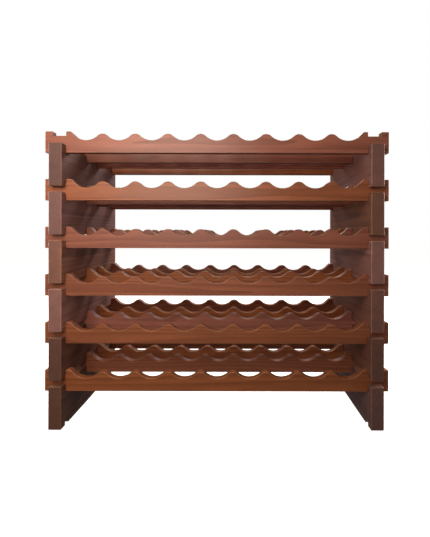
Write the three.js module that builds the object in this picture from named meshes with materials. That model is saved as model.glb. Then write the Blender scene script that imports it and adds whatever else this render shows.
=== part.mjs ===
// A free-standing wine rack of solid wood that stacks without screws.
// Every storey is four wavy rails that drop into slots in a pair of side boards, and the next
// pair of side boards drops over the ends of the outer rails.
// Millimetres, +Z up, the front faces -Y, origin on the floor under the middle of the rack.

import * as THREE from "three";

// ---- Driving sizes ----

const STOREYS = 6;

const CRADLES_PER_RAIL = 9;
const CRADLE_PITCH = 88.9; // from one bottle to the next
const CRADLE_RADIUS = 45; // round hollow that a bottle lies in
const CRADLE_DEPTH = 17.8; // from the crests down to the bottom of a hollow
const CREST_DROP = 5.7; // crests stay this far under the rail's flat ends

const RAIL_HEIGHT = 58;
const RAIL_THICKNESS = 16;
const RAIL_NOTCH_DEPTH = 12; // cut into a rail's edge where a side board crosses it
const SHOULDER_LENGTH = 9.9; // from the last hollow's pitch line to the notch
const TAB_LENGTH = 20.8; // rail end that shows outside the side board

const BOARD_THICKNESS = 34.8;
const BOARD_HEIGHT = 114.8;
const BOARD_DEPTH = 324;
const BOARD_SLOT_DEPTH = 10; // cut into a board's edge where a rail crosses it
const OUTER_RAIL_SETBACK = 18; // board's front or rear face to the outer rail
const INNER_RAIL_SPACING = 66; // between the two inner rails, centre to centre

// ---- Clearances ----

const SIDE_CLEARANCE = 0.5; // on each side of a board in a notch, and of a rail in a slot
const SEAT_GAP = 0.3; // between a notch's floor and the slot's floor that it rests on
const STACK_CLEARANCE = 2; // between an inner rail's low end and the board above it

// ---- Fineness of the curves ----

const CRADLE_STEPS = 6;
const CREST_STEPS = 3;

// ---- Sizes that follow ----

const crestHeight = RAIL_HEIGHT - CREST_DROP;
const cradleFloor = crestHeight - CRADLE_DEPTH;
const halfPitch = CRADLE_PITCH / 2;
const lastCradleX = (CRADLES_PER_RAIL - 1) * halfPitch;

// A hollow and a crest meet in one smooth tangent, which settles the crest's radius.
const radiusSum = (halfPitch ** 2 + CRADLE_DEPTH ** 2) / (2 * CRADLE_DEPTH);
const crestRadius = radiusSum - CRADLE_RADIUS;
const slopeAngle = Math.asin(halfPitch / radiusSum);

const notchInner = lastCradleX + halfPitch + SHOULDER_LENGTH;
const notchOuter = notchInner + BOARD_THICKNESS + 2 * SIDE_CLEARANCE;
const railHalfLength = notchOuter + TAB_LENGTH;
const boardCentreX = (notchInner + notchOuter) / 2;

const jointDepth = RAIL_NOTCH_DEPTH + BOARD_SLOT_DEPTH - SEAT_GAP;
const boardGap = RAIL_HEIGHT - 2 * jointDepth;
const storeyHeight = BOARD_HEIGHT + boardGap;
const lowEndHeight = jointDepth + boardGap - STACK_CLEARANCE;

const slotWidth = RAIL_THICKNESS + 2 * SIDE_CLEARANCE;
const outerRailY = BOARD_DEPTH / 2 - OUTER_RAIL_SETBACK - RAIL_THICKNESS / 2;
const innerRailY = INNER_RAIL_SPACING / 2;

// ---- Materials ----

function stainedWood(name, color, roughness) {
  return new THREE.MeshStandardMaterial({ name, color, roughness, metalness: 0 });
}

const railWood = stainedWood("stained_rail_wood", 0x8a4a30, 0.45);
const boardWood = stainedWood("stained_board_wood", 0x6e4038, 0.5);

// ---- Outlines ----

// Both outlines are drawn flat, with the piece's height upwards from zero, and are extruded
// through its thickness.

// The wavy top edge, drawn from the left hollow to the right one.
function drawCradles(outline) {
  const cradleCentreZ = cradleFloor + CRADLE_RADIUS;
  const crestCentreZ = crestHeight - crestRadius;
  for (let i = 0; i < CRADLES_PER_RAIL; i += 1) {
    const x = i * CRADLE_PITCH - lastCradleX;
    const down = -Math.PI / 2;
    outline.absarc(x, cradleCentreZ, CRADLE_RADIUS, down - slopeAngle, down + slopeAngle, false);
    if (i < CRADLES_PER_RAIL - 1) {
      const up = Math.PI / 2;
      outline.absarc(x + halfPitch, crestCentreZ, crestRadius, up + slopeAngle, up - slopeAngle, true);
    }
  }
}

// The straight stretch that climbs from the last hollow's round to the flat shoulder.
function shoulderStart() {
  const climb = RAIL_HEIGHT - cradleFloor - CRADLE_RADIUS * (1 - Math.cos(slopeAngle));
  const roundEnd = CRADLE_RADIUS * Math.sin(slopeAngle);
  return lastCradleX + roundEnd + climb / Math.tan(slopeAngle);
}

// One end's points from the shoulder out to the tab and back under to the bottom notch.
// An outer rail is notched above and below, and an inner rail's end is cut low all the way.
function railEndPoints(lowEnd) {
  const top = lowEnd
    ? [[notchInner, RAIL_HEIGHT], [notchInner, lowEndHeight], [railHalfLength, lowEndHeight]]
    : [
        [notchInner, RAIL_HEIGHT],
        [notchInner, RAIL_HEIGHT - RAIL_NOTCH_DEPTH],
        [notchOuter, RAIL_HEIGHT - RAIL_NOTCH_DEPTH],
        [notchOuter, RAIL_HEIGHT],
        [railHalfLength, RAIL_HEIGHT],
      ];
  const bottom = [
    [railHalfLength, 0],
    [notchOuter, 0],
    [notchOuter, RAIL_NOTCH_DEPTH],
    [notchInner, RAIL_NOTCH_DEPTH],
    [notchInner, 0],
  ];
  return [[shoulderStart(), RAIL_HEIGHT], ...top, ...bottom];
}

function railOutline(lowEnd) {
  const rightEnd = railEndPoints(lowEnd);
  const leftEnd = rightEnd.map(([x, z]) => [-x, z]).reverse();
  const outline = new THREE.Shape();
  outline.moveTo(...leftEnd[0]);
  leftEnd.slice(1).forEach(([x, z]) => outline.lineTo(x, z));
  drawCradles(outline);
  rightEnd.forEach(([x, z]) => outline.lineTo(x, z));
  outline.closePath();
  return outline;
}

// A board's edge, walked towards +Y, with a slot at each centre.
function slottedEdge(centres, edgeZ, floorZ) {
  return centres.flatMap((y) => [
    [y - slotWidth / 2, edgeZ],
    [y - slotWidth / 2, floorZ],
    [y + slotWidth / 2, floorZ],
    [y + slotWidth / 2, edgeZ],
  ]);
}

function boardOutline() {
  const half = BOARD_DEPTH / 2;
  const allRails = [-outerRailY, -innerRailY, innerRailY, outerRailY];
  const outerRails = [-outerRailY, outerRailY];
  const topFloor = BOARD_HEIGHT - BOARD_SLOT_DEPTH;
  const topEdge = slottedEdge(allRails, BOARD_HEIGHT, topFloor).reverse();
  const bottomEdge = slottedEdge(outerRails, 0, BOARD_SLOT_DEPTH);
  const corners = [[half, 0], [half, BOARD_HEIGHT]];
  const points = [[-half, 0], ...bottomEdge, ...corners, ...topEdge, [-half, BOARD_HEIGHT]];
  return new THREE.Shape(points.map(([y, z]) => new THREE.Vector2(y, z)));
}

// ---- Solids ----

// An arc of a Shape takes the same number of steps whatever its length, so the hollows and the
// crests are evened out here: each arc gets its own count.
function evenOutline(outline) {
  const points = [];
  for (const curve of outline.curves) {
    const isArc = curve.isEllipseCurve === true;
    const steps = !isArc ? 1 : curve.xRadius === CRADLE_RADIUS ? CRADLE_STEPS : CREST_STEPS;
    for (let i = 0; i < steps; i += 1) points.push(curve.getPoint(i / steps));
  }
  return new THREE.Shape(points);
}

function extruded(outline, depth) {
  const geometry = new THREE.ExtrudeGeometry(outline, { depth, steps: 1, bevelEnabled: false });
  geometry.translate(0, 0, -depth / 2);
  return geometry;
}

// Shape x is the rack's X, shape y its Z.
function railGeometry(lowEnd) {
  const geometry = extruded(evenOutline(railOutline(lowEnd)), RAIL_THICKNESS);
  return geometry.rotateX(Math.PI / 2);
}

// Shape x is the rack's Y, shape y its Z.
function boardGeometry() {
  const geometry = extruded(boardOutline(), BOARD_THICKNESS);
  return geometry.rotateX(Math.PI / 2).rotateZ(Math.PI / 2);
}

// ---- Assembly ----

const rails = {
  front_rail: { y: -outerRailY, geometry: railGeometry(false) },
  inner_front_rail: { y: -innerRailY, geometry: railGeometry(true) },
  inner_rear_rail: { y: innerRailY, geometry: railGeometry(true) },
  rear_rail: { y: outerRailY, geometry: railGeometry(false) },
};
const boards = {
  left_side_board: { x: -boardCentreX, geometry: boardGeometry() },
  right_side_board: { x: boardCentreX, geometry: boardGeometry() },
};

function addPiece(parent, name, geometry, material, place) {
  const mesh = new THREE.Mesh(geometry, material.clone());
  mesh.name = name;
  mesh.position.set(place.x ?? 0, place.y ?? 0, place.z ?? 0);
  parent.add(mesh);
}

// One storey: a pair of side boards, with its four rails in their top slots.
function makeStorey(number) {
  const storey = new THREE.Group();
  for (const [name, { x, geometry }] of Object.entries(boards)) {
    addPiece(storey, `${name}_${number}`, geometry, boardWood, { x });
  }
  const railBottom = BOARD_HEIGHT - jointDepth;
  for (const [name, { y, geometry }] of Object.entries(rails)) {
    addPiece(storey, `${name}_${number}`, geometry, railWood, { y, z: railBottom });
  }
  storey.position.z = (number - 1) * storeyHeight;
  return storey;
}

const group = new THREE.Group();
group.name = "wine_rack";
for (let number = 1; number <= STOREYS; number += 1) group.add(makeStorey(number));

export default group;
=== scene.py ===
# A free-standing wine rack of stained wood. Wavy rails lie in the slots of thick side boards, and
# storey stacks on storey. The frame gives every piece's place; the pieces are planed, eased and
# stained here.

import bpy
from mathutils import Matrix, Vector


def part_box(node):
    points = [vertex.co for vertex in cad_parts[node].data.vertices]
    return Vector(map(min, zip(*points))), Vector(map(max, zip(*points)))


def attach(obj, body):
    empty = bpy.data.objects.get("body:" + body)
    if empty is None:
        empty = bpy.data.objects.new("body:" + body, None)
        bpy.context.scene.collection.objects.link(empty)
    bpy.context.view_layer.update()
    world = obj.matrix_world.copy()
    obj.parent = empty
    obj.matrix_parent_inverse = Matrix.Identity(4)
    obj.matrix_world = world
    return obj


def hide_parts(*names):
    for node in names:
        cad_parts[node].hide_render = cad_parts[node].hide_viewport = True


bl_info = {
    "name": "Wine rack",
    "version": (1, 0, 0),
    "blender": (4, 5, 0),
    "location": "View3D > Sidebar > Wine rack",
    "description": "Makes a stackable wine rack's wavy rails and side boards, and a plain studio around it",
    "category": "Object",
}

import math
import random

import bmesh
import bpy
from bpy.props import FloatProperty, FloatVectorProperty, IntProperty, PointerProperty
from mathutils import Vector

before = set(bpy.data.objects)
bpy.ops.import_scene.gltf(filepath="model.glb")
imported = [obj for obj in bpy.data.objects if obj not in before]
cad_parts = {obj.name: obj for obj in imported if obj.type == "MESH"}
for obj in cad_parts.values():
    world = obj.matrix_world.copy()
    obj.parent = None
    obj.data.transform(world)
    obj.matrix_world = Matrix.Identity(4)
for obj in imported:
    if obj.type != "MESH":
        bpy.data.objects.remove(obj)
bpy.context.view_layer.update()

STOREYS = sum(1 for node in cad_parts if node.startswith("front_rail_"))
MM = 0.001
NEAR = 0.01 * MM  # two places closer than this are the same
SHARP = math.radians(50)  # an edge that turns more than this is one to sand round
SMOOTH = math.radians(40)  # and one that turns less than this is shaded as one surface


def linear(hex_colour):
    """A colour written as sRGB hex, as the linear values that the shaders work in."""
    channels = [int(hex_colour[i : i + 2], 16) / 255 for i in (0, 2, 4)]
    return tuple(c / 12.92 if c <= 0.04045 else ((c + 0.055) / 1.055) ** 2.4 for c in channels)


# ---- Sizes, colours and studio that a user may change ----


def length(name, default, description):
    return FloatProperty(
        name=name, description=description, default=default, min=0, subtype="DISTANCE", unit="LENGTH"
    )


def colour(name, hex_colour, description):
    return FloatVectorProperty(
        name=name, description=description, default=linear(hex_colour), size=3, min=0, max=1, subtype="COLOR"
    )


class RackShape(bpy.types.PropertyGroup):
    hollows: IntProperty(name="Hollows", description="Bottles that lie on one rail", default=9, min=1)
    pitch: length("Pitch", 88.9 * MM, "Distance from one hollow to the next")
    hollow_radius: length("Hollow radius", 45 * MM, "Radius of the round that a bottle lies in")
    hollow_depth: length("Hollow depth", 17.8 * MM, "Height of the crests above the hollows")
    crest_drop: length("Crest drop", 5.7 * MM, "Height of the flat shoulders above the crests")
    notch_depth: length("Notch depth", 12 * MM, "Depth of the notches near a rail's ends")
    stack_clearance: length(
        "Stack clearance", 2 * MM, "Room between an inner rail's low end and the board above"
    )
    slot_depth: length("Slot depth", 10 * MM, "Depth of the slots in a side board's edges")
    clearance: length("Clearance", 0.5 * MM, "Play on each side of a rail in its slot")
    rail_ease: length("Rail ease", 1.4 * MM, "Radius sanded on the rails' edges")
    board_ease: length("Board ease", 2 * MM, "Radius sanded on the side boards' edges")
    ease_steps: IntProperty(name="Ease steps", description="Facets round a sanded edge", default=3, min=1)
    hollow_steps: IntProperty(name="Hollow steps", description="Facets round a hollow", default=20, min=4)
    crest_steps: IntProperty(name="Crest steps", description="Facets round half a crest", default=5, min=2)


class RackFinish(bpy.types.PropertyGroup):
    rail_light: colour("Rail, light", "91543b", "Stain on the softer wood of a rail")
    rail_dark: colour("Rail, dark", "6f3c27", "Stain in a rail's growth lines")
    rail_soaked: colour("Rail, soaked", "4f2a1d", "Stain in a rail's end grain")
    board_light: colour("Board, light", "7b5144", "Stain on the softer wood of a side board")
    board_dark: colour("Board, dark", "56372f", "Stain in a side board's growth lines")
    board_soaked: colour("Board, soaked", "754f45", "Stain in a side board's end grain")
    # Paler colour along the sanded edges: partly stain thinned by sanding, partly a painted highlight where
    # the rounded edges catch the light.
    rubbed_and_highlight: colour("Rubbed edge", "9a6a4c", "Stain that sanding has thinned along the edges")
    batch: IntProperty(name="Batch", description="Which logs the pieces are sawn from", default=17177)


class RackStage(bpy.types.PropertyGroup):
    camera_x: FloatProperty(
        name="Camera X", description="Camera to the right of the middle", default=0.0533, unit="LENGTH"
    )
    camera_y: FloatProperty(
        name="Camera Y", description="Camera in front of the middle", default=-0.8861, unit="LENGTH"
    )
    camera_z: FloatProperty(
        name="Camera Z", description="Camera above the floor", default=0.5224, unit="LENGTH"
    )
    lens: FloatProperty(name="Lens", description="Focal length in millimetres", default=18.35, min=1)
    shift_x: FloatProperty(name="Shift X", description="Sideways shift of the picture", default=-0.0402)
    shift_y: FloatProperty(name="Shift Y", description="Upward shift of the picture", default=-0.0656)
    roll: FloatProperty(name="Roll", description="Lean of the picture", default=0.0023, subtype="ANGLE")
    fill: FloatProperty(name="Fill", description="Strength of the light from all round", default=0.1, min=0)
    key: FloatProperty(name="Key", description="Watts of the softbox at the upper left", default=13.8, min=0)
    key_tint: colour("Key tint", "fff4e8", "Warmth of the softbox at the upper left")
    rear: FloatProperty(name="Rear", description="Watts of the softbox behind the rack", default=75, min=0)
    sides: FloatProperty(name="Sides", description="Watts of the softbox at each side", default=25, min=0)
    floor_glow: FloatProperty(
        name="Floor glow", description="Light that keeps the shadows on the floor pale", default=1, min=0
    )
    floor: colour("Floor", "f5f4f2", "Plain pale floor")
    backdrop: colour("Backdrop", "ffffff", "Plain pale surroundings")


# ---- Modelling helpers ----


def work_on(piece):
    """Leaves only this piece selected, in object mode."""
    if bpy.context.object and bpy.context.object.mode != "OBJECT":
        bpy.ops.object.mode_set(mode="OBJECT")
    bpy.ops.object.select_all(action="DESELECT")
    piece.select_set(True)
    bpy.context.view_layer.objects.active = piece


def edit(piece):
    work_on(piece)
    bpy.ops.object.mode_set(mode="EDIT")


def pick(piece, kind, test):
    """In edit mode, selects only the vertices, edges or faces that pass the test."""
    bpy.ops.mesh.select_mode(type={"verts": "VERT", "edges": "EDGE", "faces": "FACE"}[kind])
    bpy.ops.mesh.select_all(action="DESELECT")
    mesh = bmesh.from_edit_mesh(piece.data)
    for item in getattr(mesh, kind):
        if test(item):
            item.select_set(True)
    bmesh.update_edit_mesh(piece.data)


def lies_at(edge, x=None, z=None):
    """True if both ends of an edge are at that x or that height."""
    return all(
        (x is None or abs(v.co.x - x) < NEAR) and (z is None or abs(v.co.z - z) < NEAR)
        for v in edge.verts
    )


def shift(move):
    bpy.ops.transform.translate(value=move)


def pull_edges(move):
    """Extrudes the selected edges to a new place."""
    bpy.ops.mesh.extrude_edges_move(TRANSFORM_OT_translate={"value": move})


def apply_modifier(piece, name, kind, **settings):
    work_on(piece)
    modifier = piece.modifiers.new(name, kind)
    for key, value in settings.items():
        setattr(modifier, key, value)
    bpy.ops.object.modifier_apply(modifier=modifier.name)


def ease_edges(piece, radius, steps, test):
    """Rounds the edges that pass the test, and marks the rounding's narrow faces for the paler edge colour,
    which is partly rubbed stain and partly a painted highlight.
    """
    edit(piece)
    pick(piece, "edges", test)
    bpy.ops.mesh.bevel(offset=radius, segments=steps, profile=0.5, affect="EDGES")
    mesh = bmesh.from_edit_mesh(piece.data)
    eased = mesh.faces.layers.float.get("eased") or mesh.faces.layers.float.new("eased")
    for face in mesh.faces:
        if face.calc_area() / face.calc_perimeter() < radius / 2:
            face[eased] = 1
    bmesh.update_edit_mesh(piece.data)
    work_on(piece)


def is_sharp_ridge(edge):
    return edge.is_convex and edge.calc_face_angle(0) > SHARP


def smooth_planed(piece):
    """Smooths the rounds and keeps the planed faces flat."""
    work_on(piece)
    bpy.ops.object.shade_smooth_by_angle(angle=SMOOTH)
    apply_modifier(piece, "flat_faces", "WEIGHTED_NORMAL", keep_sharp=True, weight=100)


def copy_of(pattern, name, move):
    """A copy with its own mesh, moved to its place, with its object left at the origin."""
    work_on(pattern)
    bpy.ops.object.duplicate(linked=False)
    piece = bpy.context.object
    piece.name = name
    shift(move)
    bpy.ops.object.transform_apply(location=True, rotation=False, scale=False)
    return piece


def discard(piece):
    work_on(piece)
    bpy.ops.object.delete()


X, Y = 0, 1
PITH_DISTANCE = (50 * MM, 110 * MM)  # sideways from the piece's middle
PITH_OFF_LEVEL = 35 * MM  # at most, above or below the piece's middle
HALF_LOG = 3.0


def saw_from_log(piece, node, grain_axis):
    """Gives the piece its own place in the log and its own uptake of stain.

    The pith is beyond the piece's wide face, as in a board sawn from one side of the log.
    """
    batch = bpy.context.scene.rack_finish.batch
    draw = random.Random(f"{node} {batch}")
    shade, warmth = draw.random(), draw.random()
    from_pith = Vector((0, 0, draw.uniform(-PITH_OFF_LEVEL, PITH_OFF_LEVEL)))
    from_pith[Y if grain_axis == X else X] = draw.choice((-1, 1)) * draw.uniform(*PITH_DISTANCE)
    from_pith[grain_axis] = draw.uniform(-HALF_LOG, HALF_LOG)
    low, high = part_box(node)
    cut_from = from_pith - (low + high) / 2
    for name, value in (("cut_from", cut_from), ("stain_uptake", (shade, warmth, 0))):
        layer = piece.data.attributes.new(name, "FLOAT_VECTOR", "POINT")
        layer.data.foreach_set("vector", list(value) * len(piece.data.vertices))


def hand_over(piece, node, material, grain_axis):
    """Puts a finished piece in its CAD node's place."""
    piece.data.materials.clear()
    piece.data.materials.append(material)
    saw_from_log(piece, node, grain_axis)
    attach(piece, "root")
    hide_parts(node)


# ---- Wood ----


def add_node(tree, kind, inputs=(), **settings):
    """Adds a node, sets its properties, and sets or links its inputs.

    The inputs are a dict by name, or a tuple in the node's own order.
    """
    node = tree.nodes.new(f"ShaderNode{kind}")
    for key, value in settings.items():
        setattr(node, key, value)
    pairs = inputs.items() if isinstance(inputs, dict) else enumerate(inputs)
    for key, value in pairs:
        if isinstance(value, bpy.types.NodeSocket):
            tree.links.new(value, node.inputs[key])
        else:
            node.inputs[key].default_value = value
    return node


def stained_pine(name, light, dark, soaked, rubbed_and_highlight, ring, uneven, turn):
    """Solid pine, planed and sanded, wiped with a red-brown stain and sprayed with satin lacquer.

    It gives long soft growth lines, paler edges that are partly rubbed stain and partly a painted
    highlight, darker and duller end grain with its arcs of rings, and a low wide sheen. The rings
    are round the pattern's X axis, and turn brings the pieces' length on to it. ring is one year's
    growth, soaked the colour of end grain, and uneven the darkest and lightest shade that a piece comes out
    in.
    """
    material = bpy.data.materials.new(name)
    material.use_nodes = True
    tree = material.node_tree
    shader = tree.nodes["Principled BSDF"]

    def node(kind, output, inputs=(), **settings):
        return add_node(tree, kind, inputs, **settings).outputs[output]

    place = add_node(tree, "TexCoord").outputs
    cut_from = node("Attribute", "Vector", attribute_name="cut_from")
    in_log = node("VectorMath", "Vector", (place["Object"], cut_from), operation="ADD")
    uptake = node("Attribute", "Vector", attribute_name="stain_uptake")
    uptake = add_node(tree, "SeparateXYZ", (uptake,)).outputs
    eased = node("Attribute", "Fac", attribute_name="eased")

    def along_grain(vector, scale=(1, 1, 1)):
        """Brings the piece's length on to X, and then scales."""
        turned = node("Mapping", "Vector", {"Vector": vector, "Rotation": (0, 0, turn)})
        return node("Mapping", "Vector", {"Vector": turned, "Scale": scale})

    def streaks(length, width, detail, roughness=0.5):
        """Noise drawn out along the grain, with streaks of this length and width."""
        scaled = along_grain(in_log, (1 / length, 1 / width, 1 / width))
        texture = {"Vector": scaled, "Scale": 1.0, "Detail": detail, "Roughness": roughness}
        return node("TexNoise", "Fac", texture)

    # Real rings are 2 to 4 mm apart, and are drawn a little wider so that they show. A wave
    # texture's rings repeat each 2 pi / 20 of its own unit. Distortion bends them as a stem does.
    stem = {
        "Vector": along_grain(in_log, (0.08, 1, 1)),
        "Scale": 2 * math.pi / 20 / ring,
        "Distortion": 13.0,
        "Detail": 2.0,
        "Detail Scale": 0.32,
        "Detail Roughness": 0.4,
    }
    rings = node("TexWave", "Fac", stem, wave_type="RINGS", rings_direction="X", wave_profile="SAW")
    # Early wood is pale, and late wood darkens towards the ring's outer edge.
    late_wood = node("MapRange", "Result", (rings, 0.2, 0.95, 0, 1), interpolation_type="SMOOTHSTEP")
    # Real fibres are far finer than 2 mm, and are drawn as bundles coarse enough to show.
    figure = streaks(160 * MM, 24 * MM, detail=3.0)
    fibres = streaks(80 * MM, 2 * MM, detail=3.0, roughness=0.6)
    # Patches along the edges where the paler colour is stronger: rubbed stain and painted highlight.
    edge_rub_and_highlight = streaks(18 * MM, 12 * MM, detail=2.0)

    facing = node("SeparateXYZ", "X", (along_grain(place["Normal"]),))
    facing = node("Math", "Value", (facing, facing), operation="MULTIPLY")
    end_grain = node("MapRange", "Result", (facing, 0.05, 0.9, 0, 1))
    # Flecks are resin canals, which are dots too fine to show in end grain.
    side_grain = node("Math", "Value", (1.0, end_grain), operation="SUBTRACT")
    canals = node("MapRange", "Result", (streaks(9 * MM, 0.9 * MM, detail=0.0), 0.70, 0.78, 0, 1))
    flecks = node("Math", "Value", (canals, side_grain), operation="MULTIPLY")

    # Each stain goes over the last. Its strength is the product of a pattern and of how much of
    # it there is from place to place.
    stains = (
        (dark, late_wood, node("MapRange", "Result", (figure, 0.3, 0.7, 0.3, 0.85))),
        (soaked, end_grain, node("MapRange", "Result", (late_wood, 0, 1, 0.98, 0.35))),
        (soaked, flecks, 0.35),
        # The paler edges are partly stain thinned by sanding and partly a painted highlight on the rounds.
        (rubbed_and_highlight, eased, node("MapRange", "Result", (edge_rub_and_highlight, 0.3, 0.7, 0.25, 0.75))),
    )
    wood = (*light, 1)
    for stain, pattern, amount in stains:
        strength = node("Math", "Value", (pattern, amount), operation="MULTIPLY")
        layers = {"Factor": strength, "A": wood, "B": (*stain, 1)}
        wood = node("Mix", "Result", layers, data_type="RGBA")

    # The shade differs from piece to piece, and a little from streak to streak.
    shade = node("MapRange", "Result", (uptake["X"], 0, 1, *uneven))
    for streak in ((figure, 0.25, 0.75, 0.84, 1.16), (fibres, 0.25, 0.75, 0.9, 1.1)):
        streak = node("MapRange", "Result", streak)
        shade = node("Math", "Value", (shade, streak), operation="MULTIPLY")
    tint = {
        "Hue": node("MapRange", "Result", (uptake["Y"], 0, 1, 0.492, 0.508)),
        "Saturation": node("MapRange", "Result", (uptake["Y"], 0, 1, 0.9, 1.1)),
        "Value": shade,
        "Color": wood,
    }
    tree.links.new(node("HueSaturation", "Color", tint), shader.inputs["Base Color"])

    # Satin lacquer, which sinks in and goes dull on end grain.
    satin = node("MapRange", "Result", (fibres, 0.3, 0.7, 0.4, 0.52))
    dullness = node("Math", "Value", (end_grain, 0.14, satin), operation="MULTIPLY_ADD")
    tree.links.new(dullness, shader.inputs["Roughness"])
    shader.inputs["Specular IOR Level"].default_value = 0.35
    shader.inputs["Coat Weight"].default_value = 0.15
    shader.inputs["Coat Roughness"].default_value = 0.32

    # Fibres and late wood stand a little proud of a planed face, and end grain is sanded flatter.
    proud = node("Math", "Value", (fibres, late_wood), operation="ADD")
    proud = node("Math", "Value", (proud, flecks), operation="SUBTRACT")
    sanded = node("MapRange", "Result", (end_grain, 0, 1, 1, 0.3))
    proud = node("Math", "Value", (proud, sanded), operation="MULTIPLY")
    surface = {"Height": proud, "Strength": 0.5, "Distance": 0.12 * MM}
    tree.links.new(node("Bump", "Normal", surface), shader.inputs["Normal"])
    return material


# ---- Rails ----


def crest_height(shape, rail_height):
    return rail_height - shape.crest_drop


def wave_of(shape):
    """The slope where a hollow meets a crest in one tangent, and the radius that the crest needs."""
    half = shape.pitch / 2
    radii = (half**2 + shape.hollow_depth**2) / (2 * shape.hollow_depth)
    return math.asin(half / radii), radii - shape.hollow_radius


def last_round_end(shape):
    """How far from the rail's middle the last hollow's round ends."""
    slope, _ = wave_of(shape)
    return (shape.hollows - 1) * shape.pitch / 2 + shape.hollow_radius * math.sin(slope)


def hollow_strip(shape, rail_height):
    """One hollow between two half crests, as an upright sheet down to the rail's bottom edge."""
    slope, crest_radius = wave_of(shape)
    crest = crest_height(shape, rail_height)
    half = shape.pitch / 2
    bpy.ops.object.select_all(action="DESELECT")
    bpy.ops.mesh.primitive_plane_add(size=shape.pitch, location=(0, 0, 0))
    strip = bpy.context.object
    edit(strip)
    bpy.ops.mesh.select_mode(type="VERT")
    bpy.ops.mesh.select_all(action="SELECT")
    bpy.ops.mesh.merge(type="CENTER")
    shift((-half, 0, crest))

    def arc(centre_x, centre_z, turn, steps):
        bpy.ops.mesh.spin(
            steps=steps, angle=turn, center=(centre_x, 0, centre_z), axis=(0, -1, 0), dupli=False
        )

    hollow_z = crest - shape.hollow_depth + shape.hollow_radius
    arc(-half, crest - crest_radius, slope, shape.crest_steps)
    arc(0, hollow_z, -2 * slope, shape.hollow_steps)
    arc(half, crest - crest_radius, slope, shape.crest_steps)
    bpy.ops.mesh.select_all(action="SELECT")
    bpy.ops.mesh.remove_doubles(threshold=NEAR)
    bpy.ops.mesh.select_all(action="SELECT")
    bpy.ops.mesh.extrude_region_move(TRANSFORM_OT_translate={"value": (0, 0, -crest)})
    bpy.ops.transform.resize(value=(1, 1, 0), center_override=(0, 0, 0))
    return strip


def shape_end(rail, shape, side, rail_height, board_x, tab_x, neck_top, tab_top):
    """Shapes one end: the climb to the shoulder, the neck in the side board, and the tab."""
    slope, _ = wave_of(shape)
    round_end = last_round_end(shape)
    round_z = crest_height(shape, rail_height) - shape.hollow_depth
    round_z += shape.hollow_radius * (1 - math.cos(slope))
    shoulder = round_end + (rail_height - round_z) / math.tan(slope)
    neck_start, neck_end = board_x[0] - shape.clearance, board_x[1] + shape.clearance

    def pull_to(start, end, low=-1.0, high=1.0):
        """Pulls the upright edges at one x, between two heights, on to the next x."""
        pick(
            rail,
            "edges",
            lambda e: lies_at(e, x=side * start)
            and low - NEAR < min(v.co.z for v in e.verts)
            and max(v.co.z for v in e.verts) < high + NEAR,
        )
        pull_edges((side * (end - start), 0, 0))

    def move_corner(x, z, new_z):
        pick(rail, "verts", lambda v: abs(v.co.x - side * x) < NEAR and abs(v.co.z - z) < NEAR)
        shift((0, 0, new_z - z))

    pull_to(round_end, shoulder)
    move_corner(shoulder, round_z, rail_height)
    pull_to(shoulder, neck_start)
    pick(rail, "edges", lambda e: lies_at(e, x=side * neck_start))
    bpy.ops.mesh.subdivide(number_cuts=2)
    move_corner(neck_start, rail_height / 3, shape.notch_depth)
    move_corner(neck_start, rail_height * 2 / 3, neck_top)
    pull_to(neck_start, neck_end, shape.notch_depth, neck_top)
    pull_to(neck_end, tab_x, shape.notch_depth, neck_top)

    def is_on_tab(edge, z):
        return lies_at(edge, z=z) and all(side * v.co.x > neck_end - NEAR for v in edge.verts)

    pick(rail, "edges", lambda e: is_on_tab(e, shape.notch_depth))
    pull_edges((0, 0, -shape.notch_depth))
    if tab_top > neck_top:
        pick(rail, "edges", lambda e: is_on_tab(e, neck_top))
        pull_edges((0, 0, tab_top - neck_top))


def wavy_rail(shape, node, neck_top, tab_top):
    """A rail with its lower front edge on the X axis, ready to be copied to its places."""
    low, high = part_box(node)
    rail_height, thickness = high.z - low.z, high.y - low.y
    board_low, board_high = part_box("right_side_board_1")
    rail = hollow_strip(shape, rail_height)
    work_on(rail)
    apply_modifier(
        rail,
        "row",
        "ARRAY",
        count=shape.hollows,
        use_relative_offset=False,
        use_constant_offset=True,
        constant_offset_displace=(shape.pitch, 0, 0),
        use_merge_vertices=True,
        merge_threshold=NEAR,
    )
    edit(rail)
    bpy.ops.mesh.select_all(action="SELECT")
    shift((-(shape.hollows - 1) * shape.pitch / 2, 0, 0))
    round_end = last_round_end(shape)
    pick(rail, "verts", lambda v: abs(v.co.x) > round_end + NEAR)
    bpy.ops.mesh.delete(type="VERT")
    board_x = (board_low.x, board_high.x)
    for side in (-1, 1):
        shape_end(rail, shape, side, rail_height, board_x, high.x, neck_top, tab_top)
    bpy.ops.mesh.select_all(action="SELECT")
    bpy.ops.mesh.remove_doubles(threshold=NEAR)
    bpy.ops.mesh.select_all(action="SELECT")
    bpy.ops.mesh.extrude_region_move(TRANSFORM_OT_translate={"value": (0, thickness, 0)})
    bpy.ops.mesh.select_all(action="SELECT")
    bpy.ops.mesh.normals_make_consistent(inside=False)
    ease_edges(rail, shape.rail_ease, shape.ease_steps, is_sharp_ridge)
    smooth_planed(rail)
    return rail


def make_rails(context, rows, neck_top, tab_top):
    """Copies one rail to every storey of the named rows."""
    shape = context.scene.rack_shape
    pattern = wavy_rail(shape, f"{rows[0]}_1", neck_top, tab_top)
    material = bpy.data.materials.get("stained_pine_rails") or make_rail_wood(context)
    for row in rows:
        for storey in range(1, STOREYS + 1):
            node = f"{row}_{storey}"
            low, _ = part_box(node)
            piece = copy_of(pattern, f"{node}_planed", (0, low.y, low.z))
            hand_over(piece, node, material, X)
    discard(pattern)


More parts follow.
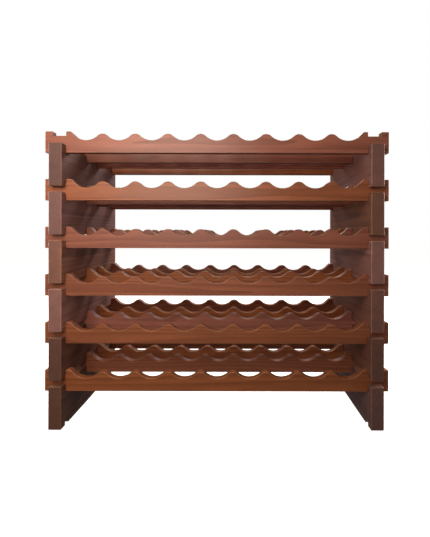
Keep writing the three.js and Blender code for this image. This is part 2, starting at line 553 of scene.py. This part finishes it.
def make_rail_wood(context):
    look = context.scene.rack_finish
    colours = (look.rail_light, look.rail_dark, look.rail_soaked, look.rubbed_and_highlight)
    return stained_pine("stained_pine_rails", *colours, ring=5.5 * MM, uneven=(0.9, 1.12), turn=0)


def make_board_wood(context):
    look = context.scene.rack_finish
    colours = (look.board_light, look.board_dark, look.board_soaked, look.rubbed_and_highlight)
    quarter = -math.pi / 2
    return stained_pine("stained_pine_boards", *colours, ring=6 * MM, uneven=(0.62, 1.6), turn=quarter)


class RACK_OT_outer_rails(bpy.types.Operator):
    """Makes the front and rear rails, which the side boards above drop over"""

    bl_idname = "rack.outer_rails"
    bl_label = "Front and rear rails"

    def execute(self, context):
        shape = context.scene.rack_shape
        low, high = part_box("front_rail_1")
        rail_height = high.z - low.z
        make_rails(context, ("front_rail", "rear_rail"), rail_height - shape.notch_depth, rail_height)
        return {"FINISHED"}


class RACK_OT_inner_rails(bpy.types.Operator):
    """Makes the two inner rows of rails, whose low ends stay under the boards above"""

    bl_idname = "rack.inner_rails"
    bl_label = "Inner rails"

    def execute(self, context):
        board_above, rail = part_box("left_side_board_2")[0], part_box("inner_front_rail_1")[0]
        low_end = board_above.z - context.scene.rack_shape.stack_clearance - rail.z
        make_rails(context, ("inner_front_rail", "inner_rear_rail"), low_end, low_end)
        return {"FINISHED"}


# ---- Side boards ----


def slotted_board(shape):
    """The left lowest side board, with its slots, ready to be copied upwards and across."""
    low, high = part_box("left_side_board_1")
    bpy.ops.object.select_all(action="DESELECT")
    bpy.ops.mesh.primitive_cube_add(size=1, location=(low + high) / 2, scale=high - low)
    board = bpy.context.object
    bpy.ops.object.transform_apply(location=True, rotation=True, scale=True)

    outer_rails = ["front_rail_1", "rear_rail_1"]
    inner_rails = ["inner_front_rail_1", "inner_rear_rail_1"]
    slots = [(rail, high.z) for rail in outer_rails + inner_rails] + [(rail, low.z) for rail in outer_rails]
    for rail, edge_z in slots:
        rail_low, rail_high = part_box(rail)
        middle = Vector(((low.x + high.x) / 2, (rail_low.y + rail_high.y) / 2, edge_z))
        width = rail_high.y - rail_low.y + 2 * shape.clearance
        bpy.ops.object.select_all(action="DESELECT")
        bpy.ops.mesh.primitive_cube_add(
            size=1, location=middle, scale=(2 * (high.x - low.x), width, 2 * shape.slot_depth)
        )
        saw_cut = bpy.context.object
        apply_modifier(board, "slot", "BOOLEAN", operation="DIFFERENCE", object=saw_cut, solver="EXACT")
        discard(saw_cut)

    def is_outer_ridge(edge):
        """The long edges and the ends' edges, but not those inside a slot."""
        a, b = (v.co for v in edge.verts)
        runs_back = abs(a.y - b.y) > NEAR
        at_end = all(min(abs(p.y - low.y), abs(p.y - high.y)) < NEAR for p in (a, b))
        on_rim = all(min(abs(p.z - low.z), abs(p.z - high.z)) < NEAR for p in (a, b))
        return is_sharp_ridge(edge) and (at_end or (runs_back and on_rim))

    ease_edges(board, shape.board_ease, shape.ease_steps, is_outer_ridge)
    smooth_planed(board)
    return board


class RACK_OT_side_boards(bpy.types.Operator):
    """Makes the slotted side boards of every storey"""

    bl_idname = "rack.side_boards"
    bl_label = "Side boards"

    def execute(self, context):
        pattern = slotted_board(context.scene.rack_shape)
        home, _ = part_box("left_side_board_1")
        material = make_board_wood(context)
        for side in ("left", "right"):
            for storey in range(1, STOREYS + 1):
                node = f"{side}_side_board_{storey}"
                low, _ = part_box(node)
                piece = copy_of(pattern, f"{node}_planed", low - home)
                hand_over(piece, node, material, Y)
        discard(pattern)
        return {"FINISHED"}


# ---- Studio ----

FLOOR_SIZE = 40  # wide enough that its far edge is lost in the surroundings
SENSOR_WIDTH = 36  # millimetres
WHITE = (1, 1, 1)


class RACK_OT_stage(bpy.types.Operator):
    """Makes the pale floor, the soft lights and the camera"""

    bl_idname = "rack.stage"
    bl_label = "Floor, light and camera"

    def execute(self, context):
        scene, stage = context.scene, context.scene.rack_stage
        bpy.ops.object.select_all(action="DESELECT")
        bpy.ops.mesh.primitive_plane_add(size=FLOOR_SIZE, location=(0, 0, 0))
        floor = bpy.context.object
        floor.name = "floor"
        # Matt pale paint, with a glow of its own that keeps the shadows on it faint. It sheds no
        # light on the rack, so that the inside stays dark.
        material = bpy.data.materials.new("matt_pale_floor_paint")
        material.use_nodes = True
        shader = material.node_tree.nodes["Principled BSDF"]
        shader.inputs["Base Color"].default_value = (*stage.floor, 1)
        shader.inputs["Roughness"].default_value = 0.8
        shader.inputs["Emission Color"].default_value = (*stage.floor, 1)
        shader.inputs["Emission Strength"].default_value = stage.floor_glow
        floor.data.materials.append(material)
        floor.visible_diffuse = floor.visible_glossy = False

        world = bpy.data.worlds.new("pale_surroundings")
        world.use_nodes = True
        tree = world.node_tree
        backdrop, fill = (
            add_node(tree, "Background", {"Color": (*stage.backdrop, 1), "Strength": strength})
            for strength in (1.0, stage.fill)
        )
        seen = add_node(tree, "LightPath").outputs["Is Camera Ray"]
        either = (seen, fill.outputs["Background"], backdrop.outputs["Background"])
        mixed = add_node(tree, "MixShader", either).outputs["Shader"]
        tree.links.new(mixed, tree.nodes["World Output"].inputs["Surface"])
        scene.world = world
        scene.view_settings.view_transform = "Standard"

        def softbox(name, watts, tint, size, place, target):
            lamp = bpy.data.lights.new(name, "AREA")
            lamp.shape, lamp.size, lamp.energy, lamp.color = "SQUARE", size, watts, tint
            holder = bpy.data.objects.new(name, lamp)
            scene.collection.objects.link(holder)
            holder.location = place
            aim = Vector(target) - Vector(place)
            holder.rotation_euler = aim.to_track_quat("-Z", "Y").to_euler()
            holder.visible_camera = False

        softbox("upper_left_softbox", stage.key, stage.key_tint, 0.8, (-0.35, -0.95, 0.95), (-0.6, 0, 0.5))
        # High up, so that the inner faces don't mirror it towards the front.
        softbox("rear_softbox", stage.rear, WHITE, 1.0, (0.3, 1.5, 2.3), (0, 0, 0.4))
        # The side boards keep these two off their own inner faces.
        for name, x in (("left_softbox", -1.5), ("right_softbox", 1.5)):
            softbox(name, stage.sides, WHITE, 0.9, (x, 0.15, 0.7), (0, 0.15, 0.4))

        lens = bpy.data.cameras.new("camera")
        lens.lens = stage.lens
        lens.sensor_width = SENSOR_WIDTH
        lens.shift_x, lens.shift_y = stage.shift_x, stage.shift_y
        lens.clip_start = 0.01
        camera = bpy.data.objects.new("camera", lens)
        scene.collection.objects.link(camera)
        camera.location = (stage.camera_x, stage.camera_y, stage.camera_z)
        camera.rotation_euler = (math.pi / 2, -stage.roll, 0)
        scene.camera = camera
        return {"FINISHED"}


class RACK_PT_panel(bpy.types.Panel):
    bl_label = "Wine rack"
    bl_space_type = "VIEW_3D"
    bl_region_type = "UI"
    bl_category = "Wine rack"

    def draw(self, context):
        for operator in (RACK_OT_outer_rails, RACK_OT_inner_rails, RACK_OT_side_boards, RACK_OT_stage):
            self.layout.operator(operator.bl_idname)
        for group in (context.scene.rack_shape, context.scene.rack_finish, context.scene.rack_stage):
            box = self.layout.box()
            for name in group.__annotations__:
                box.prop(group, name)


CLASSES = (
    RackShape,
    RackFinish,
    RackStage,
    RACK_OT_outer_rails,
    RACK_OT_inner_rails,
    RACK_OT_side_boards,
    RACK_OT_stage,
    RACK_PT_panel,
)


def register():
    for cls in CLASSES:
        bpy.utils.register_class(cls)
    bpy.types.Scene.rack_shape = PointerProperty(type=RackShape)
    bpy.types.Scene.rack_finish = PointerProperty(type=RackFinish)
    bpy.types.Scene.rack_stage = PointerProperty(type=RackStage)


def unregister():
    del bpy.types.Scene.rack_stage
    del bpy.types.Scene.rack_finish
    del bpy.types.Scene.rack_shape
    for cls in reversed(CLASSES):
        bpy.utils.unregister_class(cls)


def main():
    register()
    bpy.ops.rack.stage()
    bpy.ops.rack.outer_rails()
    bpy.ops.rack.inner_rails()
    bpy.ops.rack.side_boards()


if __name__ == "__main__":
    main()
